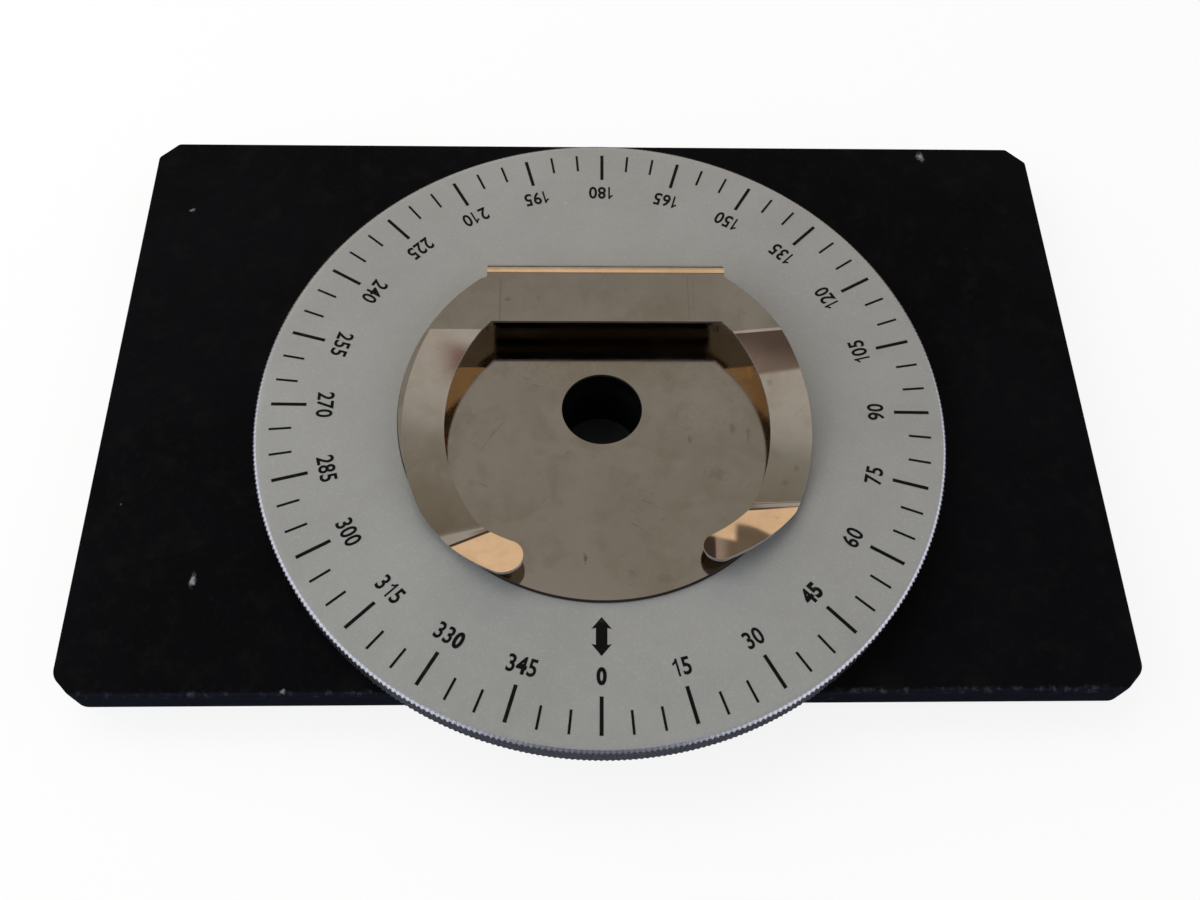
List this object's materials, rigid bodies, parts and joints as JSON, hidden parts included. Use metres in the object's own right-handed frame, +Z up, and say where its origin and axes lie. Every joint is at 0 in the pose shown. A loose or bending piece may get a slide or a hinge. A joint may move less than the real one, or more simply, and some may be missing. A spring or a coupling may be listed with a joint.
{
  "type": "rotating microscope stage",
  "caption": "Black rectangular plate with a knurled, graduated dial that turns on a hub, and a folded spring clip on the dial that holds a glass slide over a central light hole.",
  "frame": {"origin": "on the dial's axis, which is also the axis of the light hole, level with the plate's underside", "axes": "+Z up along the dial's axis, +X to the right along the plate's long side, -Y to the front, where the dial stands out over the plate's edge"},
  "size_m": [0.12, 0.0855, 0.0159],
  "materials": {
    "black_plate": "satin black anodised",
    "black_hub": "satin black anodised",
    "dial_metal": "fine matt, with a black printed scale",
    "clip_metal": "bright nickel-plated sheet, lightly smudged",
    "spring_steel": "plain",
    "screw_steel": "plain",
    "bearing_plastic": "plain",
    "adhesive": "cured film"
  },
  "bodies": {
    "base": {"base_plate": "black_plate", "bearing_bush": "bearing_plastic", "glide_ring": "bearing_plastic", "slip_washer": "bearing_plastic"},
    "turntable": {"dial": "dial_metal", "hub": "black_hub", "hub_screws": "screw_steel", "disc_spring": "spring_steel", "clip_bond": "adhesive", "clip_base": "clip_metal"},
    "leaf": {"clip_leaf": "clip_metal"}
  },
  "joints": [
    {"name": "dial_spin", "type": "hinge", "parent": "base", "child": "turntable", "pos_m": [0, 0, 0], "axis": [0, 0, 1], "continuous": true},
    {"name": "clip_lift", "type": "hinge", "parent": "turntable", "child": "leaf", "pos_m": [0, 0.016, 0.0133], "axis": [-1, 0, 0], "range_deg": [0, 5], "stiffness_Nm_per_rad": 0.6, "springref_deg": -1.72}
  ]
}
